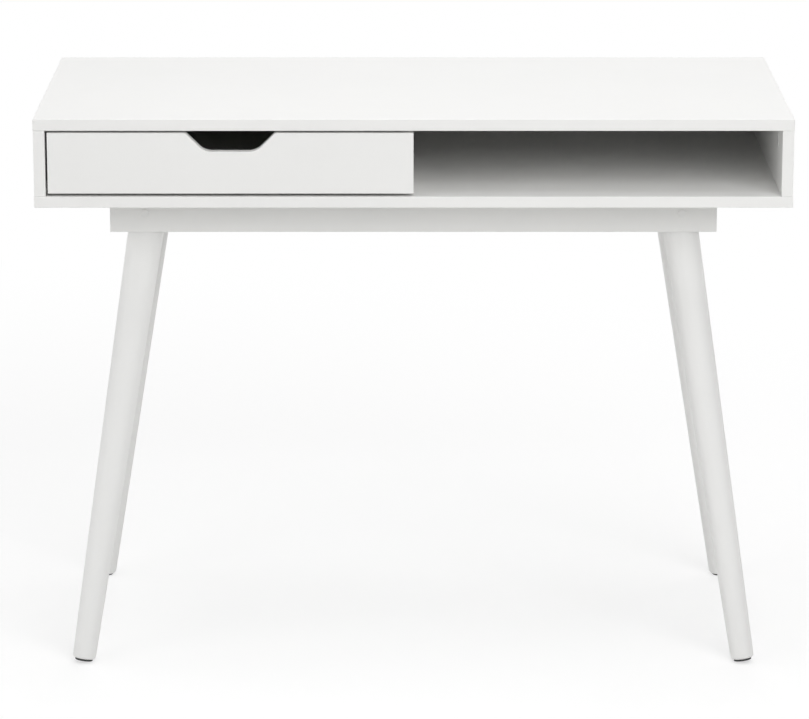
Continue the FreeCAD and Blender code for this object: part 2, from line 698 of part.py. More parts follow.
def drawer_side(side):
    """Left or right side of the drawer box."""
    near = V(drawer_x(side, RUNNER_SPACE), FRONT_REAR, DRAWER_BASE)
    shape = board(near, V(drawer_x(side, RUNNER_SPACE + DRAWER_SIDE_BOARD), DRAWER_END, DRAWER_TOP))
    inward = V(side, 0, 0)
    centre = drawer_cam_centre(side)
    tools = [drawer_bottom_groove(), cam_bore(BOARD_BORE_RADIUS, drawer_cam_place(side), V(0, 1, 0))]
    tools.append(rod(DRAWER_CAM_RADIUS + FIT_GAP, centre, centre + inward * (DRAWER_SIDE_BOARD - CAM_FLOOR)))
    tools.append(dowel_hole(DRAWER_DOWEL_RADIUS, *drawer_dowel_ends(side)))
    tools += [back_screw(place, V(-side, 0, 0), FIT_GAP) for place in back_screw_places(side)]
    tools += [pan_hole(place, V(0, 0, 1)) for place in under_screw_places(side)]
    return shape.cut(tools)


def drawer_back():
    """Back of the drawer box, between the sides."""
    distance = RUNNER_SPACE + DRAWER_SIDE_BOARD
    low = V(drawer_x(-1, distance), DRAWER_END - DRAWER_SIDE_BOARD, DRAWER_BASE)
    shape = board(low, V(drawer_x(1, distance), DRAWER_END, DRAWER_TOP))
    tools = [drawer_bottom_groove()]
    for side in JOINT_SIDES:
        tools += [back_screw(place, V(-side, 0, 0), FIT_GAP) for place in back_screw_places(side)]
    return shape.cut(tools)


def drawer_bottom():
    """Thin bottom of the drawer, held in grooves on all four sides."""
    distance = RUNNER_SPACE + DRAWER_SIDE_BOARD - DRAWER_GROOVE_DEPTH
    end = DRAWER_END - DRAWER_SIDE_BOARD + DRAWER_GROOVE_DEPTH
    low = V(drawer_x(-1, distance), FRONT_REAR - DRAWER_GROOVE_DEPTH, DRAWER_FLOOR)
    return block(low, V(drawer_x(1, distance), end, DRAWER_FLOOR + DRAWER_BOTTOM_BOARD))


def drawer_fittings():
    """Cams, bolts, dowels and screws of the drawer box."""
    cams, bolts, dowels, back_screws, under_screws = [], [], [], [], []
    for side in JOINT_SIDES:
        place = drawer_cam_place(side)
        bore = cam_bore(BOLT_RADIUS + FIT_GAP, place, V(0, 1, 0))
        length = DRAWER_SIDE_BOARD - CAM_FLOOR
        cams.append(cam_lock(DRAWER_CAM_RADIUS, length, drawer_cam_centre(side), V(side, 0, 0), bore))
        bolts.append(cam_bolt(place, V(0, 1, 0)))
        dowels.append(rod(DRAWER_DOWEL_RADIUS, *drawer_dowel_ends(side)))
        back_screws += [back_screw(entry, V(-side, 0, 0)) for entry in back_screw_places(side)]
        under_screws += [pan_screw(entry, V(0, 0, 1)) for entry in under_screw_places(side)]
    return {
        "drawer_cam_locks": Part.makeCompound(cams),
        "drawer_cam_bolts": Part.makeCompound(bolts),
        "drawer_dowels": Part.makeCompound(dowels),
        "drawer_back_screws": Part.makeCompound(back_screws),
        "drawer_runner_screws": Part.makeCompound(under_screws),
    }


def cabinet_screw_places(side):
    """Places on a channel's web where its screws enter the carcass."""
    x = drawer_x(side, STEEL)
    return [V(x, y, CHANNEL_MIDDLE) for y in (RUNNER_START + PAN_FROM_END, RUNNER_STOP - PAN_FROM_END)]


def cabinet_screw_holes(side):
    """Holes of those screws, through the web and into the board."""
    return [pan_hole(place, V(side, 0, 0)) for place in cabinet_screw_places(side)]


def cabinet_runner(side):
    """Channel on the carcass: web, two flanges with a lip below, and a stop for the rear roller."""
    base = RUNNER_BASE
    top = RUNNER_BASE + CHANNEL_HEIGHT
    flange_start = RUNNER_START + CHANNEL_NOSE
    bend = BEND_ROUND + STEEL
    section = [
        (0, base, bend),
        (CHANNEL_WIDTH, base, bend),
        (CHANNEL_WIDTH, base + CHANNEL_LIP, 0),
        (CHANNEL_WIDTH - STEEL, base + CHANNEL_LIP, 0),
        (CHANNEL_WIDTH - STEEL, base + STEEL, BEND_ROUND),
        (STEEL, base + STEEL, BEND_ROUND),
        (STEEL, top - STEEL, BEND_ROUND),
        (CHANNEL_WIDTH - CHANNEL_TOP_SHORT, top - STEEL, 0),
        (CHANNEL_WIDTH - CHANNEL_TOP_SHORT, top, 0),
        (0, top, bend),
    ]
    corners = [(V(drawer_x(side, across), flange_start, up), radius) for across, up, radius in section]
    channel = prism(corners, V(0, RUNNER_STOP - flange_start, 0))
    nose_low = V(drawer_x(side, 0), RUNNER_START, base + bend)
    nose = block(nose_low, V(drawer_x(side, STEEL), flange_start, top - bend))
    stop_rear = RUNNER_START + STOP_FROM_FRONT
    stop_low = V(drawer_x(side, STEEL), stop_rear - STEEL, top - STEEL - STOP_HEIGHT)
    stop = block(stop_low, V(drawer_x(side, CHANNEL_WIDTH - CHANNEL_TOP_SHORT), stop_rear, top - STEEL))
    tools = cabinet_screw_holes(side)
    axle = front_axle_point(side)
    tools.append(rod(AXLE_RADIUS + FIT_GAP, axle, axle - V(side * STEEL, 0, 0)))
    return channel.fuse([nose, stop]).removeSplitter().cut(tools)


def drawer_runner(side):
    """Runner on the drawer: a flange under the side, a web and a flange that runs on the roller."""
    base = RUNNER_BASE
    bend = BEND_ROUND + STEEL
    outer = RUNNER_SPACE - STEEL
    under_end = RUNNER_SPACE + DRAWER_SIDE_BOARD - UNDER_FLANGE_SHORT
    section = [
        (under_end, base, 0),
        (under_end, base + STEEL, 0),
        (RUNNER_SPACE, base + STEEL, 0),
        (RUNNER_SPACE, RUNNING_LEVEL + STEEL, bend),
        (RUNNING_FLANGE_GAP, RUNNING_LEVEL + STEEL, 0),
        (RUNNING_FLANGE_GAP, RUNNING_LEVEL, 0),
        (outer, RUNNING_LEVEL, BEND_ROUND),
        (outer, base, bend),
    ]
    corners = [(V(drawer_x(side, across), RUNNER_START, up), radius) for across, up, radius in section]
    shape = prism(corners, V(0, RUNNER_STOP - RUNNER_START, 0))
    tools = [pan_hole(place, V(0, 0, 1)) for place in under_screw_places(side)]
    axle = rear_axle_point(side)
    tools.append(rod(AXLE_RADIUS + FIT_GAP, axle, axle + V(side * STEEL, 0, 0)))
    return shape.cut(tools)


def front_axle_point(side):
    """Point on the carcass wall where the axle of the front roller starts."""
    return V(drawer_x(side, 0), FRONT_ROLLER_Y, FRONT_ROLLER_Z)


def rear_axle_point(side):
    """Point on the drawer side where the axle of the rear roller starts."""
    return V(drawer_x(side, RUNNER_SPACE), REAR_ROLLER_Y, CHANNEL_MIDDLE)


def axle(shoulder_start, shoulder_end, head_start, place, direction):
    """Riveted axle with a shoulder and a head on either side of the roller."""
    head_end = head_start + AXLE_HEAD_THICKNESS
    profile = [
        (0, 0),
        (AXLE_RADIUS, 0),
        (AXLE_RADIUS, shoulder_start),
        (AXLE_SHOULDER_RADIUS, shoulder_start),
        (AXLE_SHOULDER_RADIUS, shoulder_end),
        (AXLE_RADIUS, shoulder_end),
        (AXLE_RADIUS, head_start),
        (AXLE_SHOULDER_RADIUS, head_start),
        (AXLE_SHOULDER_RADIUS, head_end),
        (0, head_end),
    ]
    return turned(profile, place, direction)


def front_axle(side):
    """Axle of a front roller, riveted into the channel's web."""
    head_start = ROLLER_FAR + ROLLER_END_GAP
    return axle(STEEL, ROLLER_NEAR - ROLLER_END_GAP, head_start, front_axle_point(side), V(-side, 0, 0))


def rear_axle(side):
    """Axle of a rear roller, riveted into the drawer's runner."""
    shoulder_end = RUNNER_SPACE - ROLLER_FAR - ROLLER_END_GAP
    head_start = RUNNER_SPACE - ROLLER_NEAR + ROLLER_END_GAP
    return axle(STEEL, shoulder_end, head_start, rear_axle_point(side), V(side, 0, 0))


def roller(radius, side, y, z):
    """Plastic roller with a running bore."""
    near = V(drawer_x(side, ROLLER_NEAR), y, z)
    far = V(drawer_x(side, ROLLER_FAR), y, z)
    return rod(radius, near, far).cut(rod(AXLE_RADIUS + ROLLER_BORE_GAP, near, far))


def runner_fittings():
    """Screws of the channels and the axles of the rollers."""
    screws = []
    for side in JOINT_SIDES:
        screws += [pan_screw(place, V(side, 0, 0)) for place in cabinet_screw_places(side)]
    return {
        "cabinet_runner_screws": Part.makeCompound(screws),
        "front_roller_axles": Part.makeCompound([front_axle(side) for side in JOINT_SIDES]),
        "rear_roller_axles": Part.makeCompound([rear_axle(side) for side in JOINT_SIDES]),
    }


def all_pieces():
    """Every piece of the desk under its name."""
    pieces = {
        "desktop": desktop(),
        "carcass_bottom": carcass_bottom(),
        "left_side": side_board("left_side"),
        "right_side": side_board("right_side"),
        "divider": divider(),
        "back_panel": back_panel(),
        "front_rail": rail(-1),
        "rear_rail": rail(1),
        "left_cross_beam": cross_beam(-1),
        "right_cross_beam": cross_beam(1),
        "drawer_front": drawer_front(),
        "drawer_back": drawer_back(),
        "drawer_bottom": drawer_bottom(),
    }
    for corner, (side, row) in CORNERS.items():
        pieces[corner + "_leg"] = leg(side, row)
        pieces[corner + "_glide"] = glide(side, row)
    for name, side in (("left", -1), ("right", 1)):
        pieces["drawer_" + name + "_side"] = drawer_side(side)
        pieces[name + "_cabinet_runner"] = cabinet_runner(side)
        pieces[name + "_drawer_runner"] = drawer_runner(side)
        pieces[name + "_front_roller"] = roller(FRONT_ROLLER_RADIUS, side, FRONT_ROLLER_Y, FRONT_ROLLER_Z)
        pieces[name + "_rear_roller"] = roller(REAR_ROLLER_RADIUS, side, REAR_ROLLER_Y, CHANNEL_MIDDLE)
    pieces.update(carcass_fittings())
    pieces.update(base_fittings())
    pieces.update(drawer_fittings())
    pieces.update(runner_fittings())
    return pieces


def main():
    os.makedirs("parts", exist_ok=True)
    pieces = all_pieces()
    for name, shape in pieces.items():
        shape.exportStep("parts/" + name + ".step")
    whole = Part.makeCompound(list(pieces.values())).BoundBox
    print(len(pieces), "pieces, drawer travel", round(DRAWER_TRAVEL, 3))
    print("front roller radius", FRONT_ROLLER_RADIUS, "rear roller radius", round(REAR_ROLLER_RADIUS, 3))
    print("x", whole.XMin, whole.XMax, "y", whole.YMin, whole.YMax, "z", whole.ZMin, whole.ZMax)


main()
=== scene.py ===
"""Looks of the white writing desk: its finishes, its finely shaped pieces and the stage."""

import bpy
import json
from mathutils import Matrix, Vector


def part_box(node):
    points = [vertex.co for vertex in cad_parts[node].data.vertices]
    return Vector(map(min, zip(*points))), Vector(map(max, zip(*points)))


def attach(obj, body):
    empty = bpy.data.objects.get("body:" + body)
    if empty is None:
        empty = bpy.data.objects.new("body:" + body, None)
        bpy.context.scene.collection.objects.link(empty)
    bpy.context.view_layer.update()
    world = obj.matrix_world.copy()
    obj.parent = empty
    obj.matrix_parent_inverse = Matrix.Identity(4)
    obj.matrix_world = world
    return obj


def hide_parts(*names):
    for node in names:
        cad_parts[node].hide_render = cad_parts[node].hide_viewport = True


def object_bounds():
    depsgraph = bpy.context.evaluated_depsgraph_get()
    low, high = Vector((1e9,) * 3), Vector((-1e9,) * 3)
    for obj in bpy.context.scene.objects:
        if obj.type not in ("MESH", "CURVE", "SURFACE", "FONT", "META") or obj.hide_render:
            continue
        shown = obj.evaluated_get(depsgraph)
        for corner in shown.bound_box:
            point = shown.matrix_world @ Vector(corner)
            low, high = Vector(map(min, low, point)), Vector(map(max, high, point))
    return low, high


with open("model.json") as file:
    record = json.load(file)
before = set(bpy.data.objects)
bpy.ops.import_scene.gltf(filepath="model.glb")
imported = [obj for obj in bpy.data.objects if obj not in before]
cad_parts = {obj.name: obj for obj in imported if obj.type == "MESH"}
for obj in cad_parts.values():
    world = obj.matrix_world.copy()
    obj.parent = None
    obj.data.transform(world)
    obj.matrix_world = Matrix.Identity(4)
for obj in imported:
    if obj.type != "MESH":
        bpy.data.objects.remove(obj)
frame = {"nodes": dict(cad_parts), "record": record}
CAD_BOX = [list(corner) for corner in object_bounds()]

import json
import math

import bmesh
import bpy
from bpy.props import FloatProperty, FloatVectorProperty, PointerProperty
from mathutils import Vector

bl_info = {
    "name": "Writing Desk",
    "version": (1, 0, 0),
    "blender": (4, 5, 0),
    "location": "3D View > Sidebar > Desk",
    "description": "Finishes and models the visible pieces of a writing desk and lights it on a stage",
    "category": "Object",
}

MILLIMETRE = 0.001
NEAR = 0.05 * MILLIMETRE            # places closer than this count as one
ALIGNED = 0.95                      # directions whose product is above this count as one
SMOOTH_BELOW = math.radians(50.0)   # edges that turn by less are shaded smooth
QUARTER_TURN = math.radians(90.0)
EIGHTH_TURN = QUARTER_TURN / 2
RIGHT = Vector((1.0, 0.0, 0.0))
FRONT = Vector((0.0, -1.0, 0.0))
UP = Vector((0.0, 0.0, 1.0))
SIDEWAYS = (0.0, QUARTER_TURN, 0.0)     # turns an upright cylinder along X
WHITE = (1.0, 1.0, 1.0, 1.0)
PLAIN_WHITE = 1.0                   # strength at which a white glow is seen as plain white

# How finely round shapes and roundings are divided
LEG_SIDES = 96
DISC_SIDES = 64
HOLE_SIDES = 40
SCREW_SIDES = 32
FEW_CORNERS = 8                     # a face with more corners is the end of a round piece
EDGE_STEPS = 3
RIM_STEPS = 4
FOOT_STEPS = 6
LEG_TOP_STEPS = 2
CUTOUT_FLOOR_STEPS = 10
CUTOUT_MOUTH_STEPS = 6


def colour(name, description, value):
    """Colour property with its default."""
    return FloatVectorProperty(name=name, description=description, default=value, subtype="COLOR",
                               size=3, min=0.0, max=1.0)


def length(name, description, value):
    """Length property in metres with its default."""
    return FloatProperty(name=name, description=description, default=value, unit="LENGTH",
                         min=0.0, precision=5)


def power(name, description, value):
    """Power property in watts with its default."""
    return FloatProperty(name=name, description=description, default=value, unit="POWER", min=0.0)


def share(name, description, value):
    """Property between 0 and 1 with its default."""
    return FloatProperty(name=name, description=description, default=value, subtype="FACTOR",
                         min=0.0, max=1.0)


class DeskFinishSettings(bpy.types.PropertyGroup):
    """Colours and gloss of the desk's finishes."""
    foil_white: colour("Foil White", "White foil on the boards", (0.880, 0.878, 0.866))
    lacquer_white: colour("Lacquer White", "White lacquer on legs and cross beams", (0.870, 0.868, 0.858))
    hardboard_white: colour("Hardboard White", "White lacquer on the thin panels", (0.850, 0.846, 0.830))
    timber_pale: colour("Pale Timber", "Bare wood of the dowels", (0.62, 0.44, 0.26))
    timber_dark: colour("Timber Grain", "Darker grain of the bare wood", (0.42, 0.27, 0.14))
    glide_grey: colour("Glide Grey", "Dark glides under the legs", (0.035, 0.035, 0.036))
    plastic_white: colour("Plastic White", "White caps and covers", (0.860, 0.858, 0.848))
    nylon_white: colour("Nylon", "Rollers of the runners", (0.80, 0.79, 0.75))
    steel_white: colour("Coated Steel", "White coat of the runners", (0.84, 0.84, 0.83))
    zinc_grey: colour("Zinc", "Plating of screws, bolts, cams and axles", (0.66, 0.67, 0.68))
    board_roughness: share("Board Roughness", "Roughness of the foil", 0.52)
    leg_roughness: share("Leg Roughness", "Roughness of the lacquer", 0.36)


class DeskShapeSettings(bpy.types.PropertyGroup):
    """Sizes of the pieces that are modelled here."""
    edge_round: length("Edge Round", "Rounding along the edges of the boards", 0.0008)
    leg_from_rail_face: length("Leg Setback", "From the outer face of a rail to the leg's centre", 0.027)
    leg_splay_width: length("Leg Splay Sideways", "How far a foot stands out to the side", 0.090)
    leg_splay_depth: length("Leg Splay in Depth", "How far a foot stands out to front or back", 0.0765)
    leg_top_radius: length("Leg Top Radius", "Radius of a leg at its top", 0.024)
    leg_foot_radius: length("Leg Foot Radius", "Radius of a leg at its foot", 0.0158)
    leg_foot_round: length("Leg Foot Round", "Rounding of a leg's foot", 0.003)
    glide_radius: length("Glide Radius", "Radius of a glide", 0.012)
    glide_thickness: length("Glide Thickness", "Thickness of a glide", 0.003)
    glide_round: length("Glide Round", "Rounding of a glide's sole", 0.0006)
    cutout_depth: length("Cut-out Depth", "Depth of the finger cut-out", 0.025)
    cutout_floor: length("Cut-out Floor", "Width of the cut-out's floor", 0.068)
    cutout_flare: length("Cut-out Flare", "How far a flank of the cut-out leans out", 0.025)
    cutout_floor_round: length("Cut-out Floor Round", "Rounding at the cut-out's floor", 0.022)
    cutout_mouth_round: length("Cut-out Mouth Round", "Rounding at the cut-out's mouth", 0.005)
    cap_radius: length("Cap Radius", "Radius of a cover cap on a rail", 0.0057)
    cap_height: length("Cap Height", "Height of a cover cap on a rail", 0.0012)
    cover_radius: length("Cover Radius", "Radius of a cover over a cam", 0.0085)
    cover_height: length("Cover Height", "Height of a cover over a cam", 0.0008)
    cam_from_edge: length("Cam Setback", "From the front and rear edges to the cams", 0.064)
    cam_below_top: length("Cam Drop", "From the underside of the top to the cams", 0.024)
    connector_hole: length("Connector Hole", "Radius of the sunk holes under the carcass", 0.0051)
    connector_sink: length("Connector Sink", "Depth of those holes", 0.0045)
    screw_head_radius: length("Screw Head Radius", "Radius of a runner screw's head", 0.0032)
    screw_head_height: length("Screw Head Height", "Height of a runner screw's head", 0.0014)
    screw_radius: length("Screw Radius", "Radius of a runner screw", 0.0017)
    screw_length: length("Screw Length", "Length of a runner screw under its head", 0.010)
    screw_from_end: length("Screw Setback", "From the ends of a runner to its screws", 0.060)


class DeskStageSettings(bpy.types.PropertyGroup):
    """Camera, lamps and floor."""
    eye_right: FloatProperty(name="Eye Right", description="From the desk's middle to the camera",
                             default=-0.0119, unit="LENGTH", precision=4)
    eye_distance: length("Eye Distance", "From the front edge of the desk to the camera", 5.2682)
    eye_height: length("Eye Height", "From the desk's top up to the camera", 0.9916)
    tilt: FloatProperty(name="Tilt", description="How far the camera looks down",
                        default=math.radians(14.02), subtype="ANGLE")
    focal_length: FloatProperty(name="Focal Length", description="In millimetres, on a 36 mm sensor",
                                default=181.72, min=1.0)
    sky: FloatProperty(name="Sky", description="Strength of the even light all round",
                       default=0.2, min=0.0)
    key_power: power("Key Power", "Soft lamp in front and above", 78.5)
    front_power: power("Front Power", "Soft lamp straight in front", 11.5)
    corner_power: power("Corner Power", "Soft lamp in front on the left", 17.0)
    left_power: power("Left Power", "Soft lamp on the left", 22.0)
    right_power: power("Right Power", "Soft lamp behind on the right", 17.0)
    top_power: power("Top Power", "Soft lamp overhead", 50.0)
    back_power: power("Back Power", "Soft lamp behind the desk", 38.0)
    floor_size: length("Floor Size", "Side of the square floor", 60.0)
    floor_pale: colour("Floor", "Pale floor as it lights the desk from below", (0.78, 0.78, 0.77))
    shadow_share: share("Shadow Share", "How much of the light and shadow on the floor is seen", 0.45)
    floor_glow: share("Floor Glow", "How much the seen floor is white by itself", 0.59)
    shadow_near: length("Shadow Near", "Distance up to which the floor shows the whole shadow", 0.9)
    shadow_far: length("Shadow Far", "Distance from which the floor is seen as plain white", 2.4)


def opaque(tint):
    """Colour with full alpha."""
    return (tint[0], tint[1], tint[2], 1.0)


def shaded(tint, part):
    """Colour made darker or lighter by a factor."""
    return (tint[0] * part, tint[1] * part, tint[2] * part, 1.0)


class Nodes:
    """Small helper that adds and joins the nodes of one material."""

    PATTERN_LOW = 0.3       # most of a noise pattern lies between these
    PATTERN_HIGH = 0.7
    MIX_FACTOR = 0          # sockets of the Mix node for colours
    MIX_FIRST = 6
    MIX_SECOND = 7
    MIX_RESULT = 2

    def __init__(self, name):
        self.material = bpy.data.materials.new(name)
        self.material.use_nodes = True
        self.tree = self.material.node_tree
        self.shader = self.tree.nodes["Principled BSDF"]
        self.place = self.add("ShaderNodeTexCoord").outputs["Object"]

    def add(self, kind, **values):
        """New node; a value goes to the input of that name, or to the node's own setting."""
        node = self.tree.nodes.new(kind)
        for key, value in values.items():
            label = key.replace("_", " ")
            if label in node.inputs:
                self.feed(value, node.inputs[label])
            else:
                setattr(node, key, value)
        return node

    def feed(self, value, socket):
        """Links a socket, or sets a plain value."""
        if isinstance(value, bpy.types.NodeSocket):
            self.tree.links.new(value, socket)
        else:
            socket.default_value = value

    def noise(self, scale, detail, roughness=0.5, stretch=None):
        """Cloudy pattern from 0 to 1, its coordinates scaled along the axes where that is given."""
        vector = self.place
        if stretch is not None:
            vector = self.add("ShaderNodeMapping", Vector=self.place, Scale=stretch).outputs["Vector"]
        node = self.add("ShaderNodeTexNoise", Vector=vector, Scale=scale, Detail=detail,
                        Roughness=roughness)
        return node.outputs["Fac"]

    def spread(self, pattern, low, high):
        """Spreads the middle of a pattern from low to high."""
        node = self.add("ShaderNodeMapRange", Value=pattern, From_Min=self.PATTERN_LOW,
                        From_Max=self.PATTERN_HIGH, To_Min=low, To_Max=high)
        return node.outputs["Result"]

    def varied(self, pattern, roughness, less, more):
        """Roughness that a pattern makes a little smaller and larger."""
        return self.spread(pattern, roughness - less, roughness + more)

    def mix(self, factor, first, second):
        """Colour between two colours."""
        node = self.add("ShaderNodeMix", data_type="RGBA")
        self.feed(factor, node.inputs[self.MIX_FACTOR])
        self.feed(first, node.inputs[self.MIX_FIRST])
        self.feed(second, node.inputs[self.MIX_SECOND])
        return node.outputs[self.MIX_RESULT]

    def tinted(self, pattern, tint, darkest, lightest):
        """Colour that a pattern makes a little darker and lighter."""
        return self.mix(pattern, shaded(tint, darkest), shaded(tint, lightest))

    def bump(self, pattern, strength, distance, under=None):
        """Small relief from a pattern, on top of another relief where that is given."""
        node = self.add("ShaderNodeBump", Strength=strength, Distance=distance, Height=pattern)
        if under is not None:
            self.feed(under, node.inputs["Normal"])
        return node.outputs["Normal"]

    def complete(self, tint, gloss, relief, **plain):
        """Joins colour, roughness and relief to the shader, and sets its plain values."""
        self.feed(tint, self.shader.inputs["Base Color"])
        self.feed(gloss, self.shader.inputs["Roughness"])
        self.feed(relief, self.shader.inputs["Normal"])
        for key, value in plain.items():
            self.shader.inputs[key].default_value = value
        return self.material


def foil_finish(settings):
    """Satin white foil: a fine emboss, soft clouds in the gloss and hardly any change of colour."""
    nodes = Nodes("white_foil")
    clouds = nodes.noise(scale=5.0, detail=4.0)
    emboss = nodes.noise(scale=1400.0, detail=2.0)
    ripple = nodes.noise(scale=60.0, detail=2.0)
    haze = nodes.noise(scale=38.0, detail=5.0)
    tint = nodes.tinted(clouds, settings.foil_white, darkest=0.985, lightest=1.012)
    gloss = nodes.varied(haze, settings.board_roughness, less=0.04, more=0.05)
    relief = nodes.bump(ripple, strength=0.05, distance=0.4 * MILLIMETRE)
    relief = nodes.bump(emboss, strength=0.12, distance=0.05 * MILLIMETRE, under=relief)
    return nodes.complete(tint, gloss, relief, IOR=1.46)


def lacquer_finish(settings):
    """White lacquer on wood: upright grain, as on the legs, shows faintly through."""
    nodes = Nodes("white_lacquer")
    grain = nodes.noise(scale=420.0, detail=4.0, roughness=0.6, stretch=(1.0, 1.0, 0.06))
    clouds = nodes.noise(scale=9.0, detail=3.0)
    peel = nodes.noise(scale=700.0, detail=2.0)
    tint = nodes.tinted(clouds, settings.lacquer_white, darkest=0.985, lightest=1.01)
    gloss = nodes.varied(grain, settings.leg_roughness, less=0.03, more=0.05)
    relief = nodes.bump(grain, strength=0.06, distance=0.2 * MILLIMETRE)
    relief = nodes.bump(peel, strength=0.06, distance=0.06 * MILLIMETRE, under=relief)
    return nodes.complete(tint, gloss, relief, IOR=1.5)


def hardboard_finish(settings):
    """Thin white lacquer over pressed fibre, with short fibres in its relief."""
    nodes = Nodes("white_hardboard")
    fibre = nodes.noise(scale=900.0, detail=4.0, roughness=0.65, stretch=(1.0, 1.0, 0.35))
    clouds = nodes.noise(scale=12.0, detail=4.0)
    tint = nodes.tinted(clouds, settings.hardboard_white, darkest=0.97, lightest=1.015)
    gloss = nodes.spread(fibre, low=0.5, high=0.64)
    relief = nodes.bump(fibre, strength=0.16, distance=0.12 * MILLIMETRE)
    return nodes.complete(tint, gloss, relief)


def timber_finish(settings):
    """Bare pale wood with rings and pores drawn out along Y."""
    nodes = Nodes("pale_timber")
    rings = nodes.noise(scale=70.0, detail=5.0, roughness=0.55, stretch=(1.0, 0.05, 1.0))
    pores = nodes.noise(scale=900.0, detail=3.0, roughness=0.7, stretch=(1.0, 0.03, 1.0))
    ringed = nodes.mix(nodes.spread(rings, low=0.0, high=1.0), opaque(settings.timber_pale),
                       opaque(settings.timber_dark))
    pore_tint = shaded(settings.timber_dark, part=0.7)
    tint = nodes.mix(nodes.spread(pores, low=0.0, high=0.25), ringed, pore_tint)
    gloss = nodes.spread(pores, low=0.6, high=0.78)
    relief = nodes.bump(pores, strength=0.25, distance=0.2 * MILLIMETRE)
    return nodes.complete(tint, gloss, relief)


def glide_finish(settings):
    """Dark moulded glide, matt and slightly speckled."""
    nodes = Nodes("dark_glide")
    speckle = nodes.noise(scale=1500.0, detail=4.0, roughness=0.7)
    tint = nodes.tinted(speckle, settings.glide_grey, darkest=0.75, lightest=1.6)
    gloss = nodes.spread(speckle, low=0.55, high=0.72)
    relief = nodes.bump(speckle, strength=0.25, distance=0.1 * MILLIMETRE)
    return nodes.complete(tint, gloss, relief)


def plastic_finish(settings):
    """White moulded plastic with a fine spark-eroded skin."""
    nodes = Nodes("white_plastic")
    skin = nodes.noise(scale=2600.0, detail=3.0, roughness=0.6)
    clouds = nodes.noise(scale=160.0, detail=3.0)
    tint = nodes.tinted(clouds, settings.plastic_white, darkest=0.98, lightest=1.01)
    gloss = nodes.spread(skin, low=0.36, high=0.48)
    relief = nodes.bump(skin, strength=0.1, distance=0.04 * MILLIMETRE)
    return nodes.complete(tint, gloss, relief)


def nylon_finish(settings):
    """Milky nylon, worn a little smoother in places."""
    nodes = Nodes("nylon")
    wear = nodes.noise(scale=320.0, detail=4.0)
    tint = nodes.tinted(wear, settings.nylon_white, darkest=0.94, lightest=1.03)
    gloss = nodes.spread(wear, low=0.26, high=0.42)
    relief = nodes.bump(wear, strength=0.12, distance=0.05 * MILLIMETRE)
    return nodes.complete(tint, gloss, relief, IOR=1.53)


def coated_steel_finish(settings):
    """White powder coat on bent sheet, with its orange-peel surface."""
    nodes = Nodes("white_coated_steel")
    peel = nodes.noise(scale=520.0, detail=2.0)
    clouds = nodes.noise(scale=30.0, detail=3.0)
    tint = nodes.tinted(clouds, settings.steel_white, darkest=0.98, lightest=1.01)
    gloss = nodes.spread(clouds, low=0.28, high=0.38)
    relief = nodes.bump(peel, strength=0.2, distance=0.1 * MILLIMETRE)
    return nodes.complete(tint, gloss, relief)


def zinc_finish(settings):
    """Zinc plated steel with uneven crystals and faint scratches."""
    nodes = Nodes("zinc_plating")
    crystals = nodes.add("ShaderNodeTexVoronoi", Vector=nodes.place, Scale=420.0).outputs["Distance"]
    scratches = nodes.noise(scale=1600.0, detail=3.0, roughness=0.7, stretch=(1.0, 0.1, 0.25))
    tint = nodes.tinted(crystals, settings.zinc_grey, darkest=0.82, lightest=1.1)
    gloss = nodes.spread(scratches, low=0.26, high=0.42)
    relief = nodes.bump(scratches, strength=0.12, distance=0.05 * MILLIMETRE)
    return nodes.complete(tint, gloss, relief, Metallic=1.0)


FINISHES = {
    "white_board": foil_finish,
    "white_hardboard": hardboard_finish,
    "white_leg": lacquer_finish,
    "pale_timber": timber_finish,
    "black_glide": glide_finish,
    "white_plastic": plastic_finish,
    "nylon": nylon_finish,
    "white_steel": coated_steel_finish,
    "zinc_steel": zinc_finish,
}
made_finishes = {}


def finish(slot):
    """Material of one of the record's slots, made once."""
    if slot not in made_finishes:
        made_finishes[slot] = FINISHES[slot](bpy.context.scene.desk_finish)
    return made_finishes[slot]


class DESK_OT_finish_pieces(bpy.types.Operator):
    """Give every construction piece the finish of its material"""
    bl_idname = "desk.finish_pieces"
    bl_label = "Finish Pieces"

    def execute(self, context):
        for part in frame["record"]["subparts"]:
            node = frame["nodes"][part["node"]]
            node.material_slots[0].material = finish(part["material_slot"])
        return {"FINISHED"}


def select_only(piece):
    """Makes one piece the only selected and active one."""
    bpy.ops.object.select_all(action="DESELECT")
    piece.select_set(True)
    bpy.context.view_layer.objects.active = piece


def edit(piece):
    """Opens one piece in edit mode with nothing selected."""
    select_only(piece)
    bpy.ops.object.mode_set(mode="EDIT")
    bpy.ops.mesh.select_all(action="DESELECT")


def done():
    """Leaves edit mode."""
    bpy.ops.object.mode_set(mode="OBJECT")


def pick(piece, kind, test):
    """Selects the faces, edges or points that pass a test; the piece is in edit mode."""
    bpy.ops.mesh.select_mode(type=kind)
    bpy.ops.mesh.select_all(action="DESELECT")
    mesh = bmesh.from_edit_mesh(piece.data)
    items = {"FACE": mesh.faces, "EDGE": mesh.edges, "VERT": mesh.verts}[kind]
    found = [item for item in items if test(item)]
    if not found:
        raise RuntimeError(f"nothing to select on {piece.name}")
    for item in found:
        item.select_set(True)
    bmesh.update_edit_mesh(piece.data)


def pick_end_edges(piece, place, direction, distance=0.0):
    """Selects the edges at the end of a piece that lies this far from a place in a direction."""
    limit = distance - NEAR
    pick(piece, "EDGE", lambda edge: all(
        (point.co - place).dot(direction) > limit for point in edge.verts))


def pick_cross_edges(piece, direction):
    """Selects the edges that lie across a direction."""
    pick(piece, "EDGE", lambda edge: abs((edge.verts[0].co - edge.verts[1].co).dot(direction)) < NEAR)


